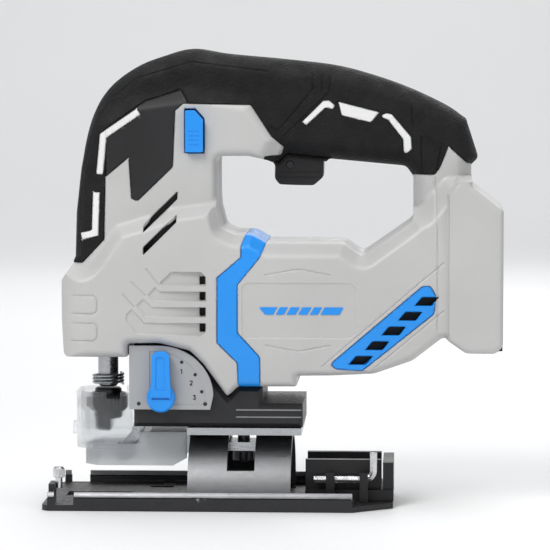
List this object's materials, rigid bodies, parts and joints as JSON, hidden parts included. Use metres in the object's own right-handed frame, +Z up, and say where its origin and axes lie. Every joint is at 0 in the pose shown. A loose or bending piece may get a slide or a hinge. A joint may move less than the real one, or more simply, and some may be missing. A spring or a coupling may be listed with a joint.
{
  "type": "cordless jigsaw",
  "caption": "Cordless jigsaw, bare tool: D-handle body with trigger, plunger and blade clamp, pendulum lever, clear guards and a tilting shoe.",
  "frame": {"origin": "on the sole, in the middle of its width, where the tilt axis passes under the gear case", "axes": "+Z up, -X the cutting direction, +X the battery end, Y = 0 the parting plane of the housing"},
  "size_m": [0.2179, 0.078, 0.2181],
  "materials": {
    "light_shell": "fine satin moulded plastic, light warm grey",
    "grip_rubber": "soft black overmould, pebbled",
    "blue_plastic": "bright blue moulded plastic, satin",
    "black_plastic": "black moulded plastic",
    "black_cast": "black coated casting",
    "grey_cast": "satin grey casting",
    "steel": "ground steel",
    "dark_steel": "blackened steel",
    "black_sheet": "black coated pressed steel, worn bright on the edges",
    "dial_grey": "satin light grey plate",
    "clear_plastic": "clear polycarbonate",
    "frosted_plastic": "frosted clear plastic",
    "copper_alloy": "bright contact blades",
    "green_board": "circuit board",
    "red_lead": "insulated wire",
    "black_lead": "insulated wire"
  },
  "bodies": {
    "tool": {"housing_left": "light_shell", "grip_cover_left": "grip_rubber", "trim_band_left": "blue_plastic", "vent_grille_left": "blue_plastic", "housing_right": "light_shell", "grip_cover_right": "grip_rubber", "trim_band_right": "blue_plastic", "vent_grille_right": "blue_plastic", "housing_screw_1": "dark_steel", "housing_screw_2": "dark_steel", "housing_screw_3": "dark_steel", "housing_screw_4": "dark_steel", "housing_screw_5": "dark_steel", "trigger_pin": "steel", "switch_body": "black_plastic", "terminal_block": "black_plastic", "contact_1": "copper_alloy", "contact_2": "copper_alloy", "contact_3": "copper_alloy", "controller_board": "green_board", "lead_positive": "red_lead", "lead_negative": "black_lead", "work_light": "clear_plastic", "motor_can": "dark_steel", "front_bearing": "steel", "rear_bearing": "steel", "bearing_bracket": "grey_cast", "gear_axle": "steel", "upper_guide": "grey_cast", "lower_bush": "steel", "fork_pin": "steel", "dial_plate": "dial_grey", "gear_case": "black_cast", "saddle_plate": "steel", "clamp_plate": "steel", "dust_cover": "frosted_plastic"},
    "trigger": {"trigger": "black_plastic"},
    "lock_button": {"lock_off_button": "blue_plastic"},
    "rotor": {"motor_rotor": "steel", "motor_fan": "black_plastic", "motor_pinion": "steel"},
    "gear": {"drive_gear": "dark_steel", "crank_pin": "steel"},
    "plunger": {"plunger": "steel", "yoke": "dark_steel", "clamp_body": "dark_steel", "clamp_spring": "steel"},
    "collar": {"clamp_collar": "black_plastic"},
    "fork": {"roller_fork": "steel", "roller_pin": "dark_steel"},
    "roller": {"guide_roller": "steel"},
    "lever": {"orbital_lever": "blue_plastic", "lever_shaft": "steel"},
    "guard": {"chip_guard": "clear_plastic"},
    "tilt_screw": {"tilt_screw": "dark_steel"},
    "shoe": {"shoe": "black_sheet", "tilt_dome": "grey_cast", "key_holder": "black_plastic"},
    "fence_screw": {"fence_screw": "steel"},
    "hex_key": {"hex_key": "steel"}
  },
  "joints": [
    {"name": "trigger_pull", "type": "hinge", "parent": "tool", "child": "trigger", "pos_m": [0.0342, 0, 0.1625], "axis": [0, -1, 0], "range_deg": [0, 10], "stiffness_Nm_per_rad": 0.08, "springref_deg": -17.19},
    {"name": "lock_push", "type": "slide", "parent": "tool", "child": "lock_button", "axis": [0, 1, 0], "range_m": [0, 0.004], "stiffness_N_per_m": 150, "springref_m": -0.004},
    {"name": "rotor_spin", "type": "hinge", "parent": "tool", "child": "rotor", "pos_m": [0.05, 0, 0.0935], "axis": [1, 0, 0], "continuous": true},
    {"name": "gear_spin", "type": "hinge", "parent": "tool", "child": "gear", "pos_m": [-0.035, 0, 0.11975], "axis": [1, 0, 0], "continuous": true},
    {"name": "plunger_stroke", "type": "slide", "parent": "tool", "child": "plunger", "axis": [0, 0, 1], "range_m": [-0.01, 0.01]},
    {"name": "collar_twist", "type": "hinge", "parent": "plunger", "child": "collar", "pos_m": [-0.054, 0, 0.048], "axis": [0, 0, 1], "range_deg": [0, 30], "stiffness_Nm_per_rad": 0.05, "springref_deg": -17.19},
    {"name": "orbital_select", "type": "hinge", "parent": "tool", "child": "lever", "pos_m": [-0.0258, 0, 0.0531], "axis": [0, 1, 0], "range_deg": [0, 90]},
    {"name": "fork_swing", "type": "hinge", "parent": "tool", "child": "fork", "pos_m": [-0.036, 0, 0.044], "axis": [0, 1, 0], "range_deg": [0, 3]},
    {"name": "roller_spin", "type": "hinge", "parent": "fork", "child": "roller", "pos_m": [-0.046, 0, 0.024], "axis": [0, 1, 0], "continuous": true},
    {"name": "guard_lift", "type": "slide", "parent": "tool", "child": "guard", "axis": [0, 0, 1], "range_m": [0, 0.012]},
    {"name": "tilt_screw_turn", "type": "hinge", "parent": "tool", "child": "tilt_screw", "pos_m": [0.0116, 0, 0.03], "axis": [0, 0, 1], "range_deg": [0, 360]},
    {"name": "shoe_tilt", "type": "hinge", "parent": "tool", "child": "shoe", "pos_m": [0, 0, 0], "axis": [1, 0, 0], "range_deg": [-45, 45]},
    {"name": "fence_screw_turn", "type": "hinge", "parent": "shoe", "child": "fence_screw", "pos_m": [-0.075, -0.028, 0.015], "axis": [0, 0, 1], "range_deg": [0, 360]},
    {"name": "key_pull", "type": "slide", "parent": "shoe", "child": "hex_key", "axis": [0, 0, 1], "range_m": [0, 0.02]}
  ],
  "couplings": [
    {"joint": "gear_spin", "follows": "rotor_spin", "ratio": -0.23529},
    {"joint": "fork_swing", "follows": "orbital_select", "ratio": 0.033333}
  ]
}
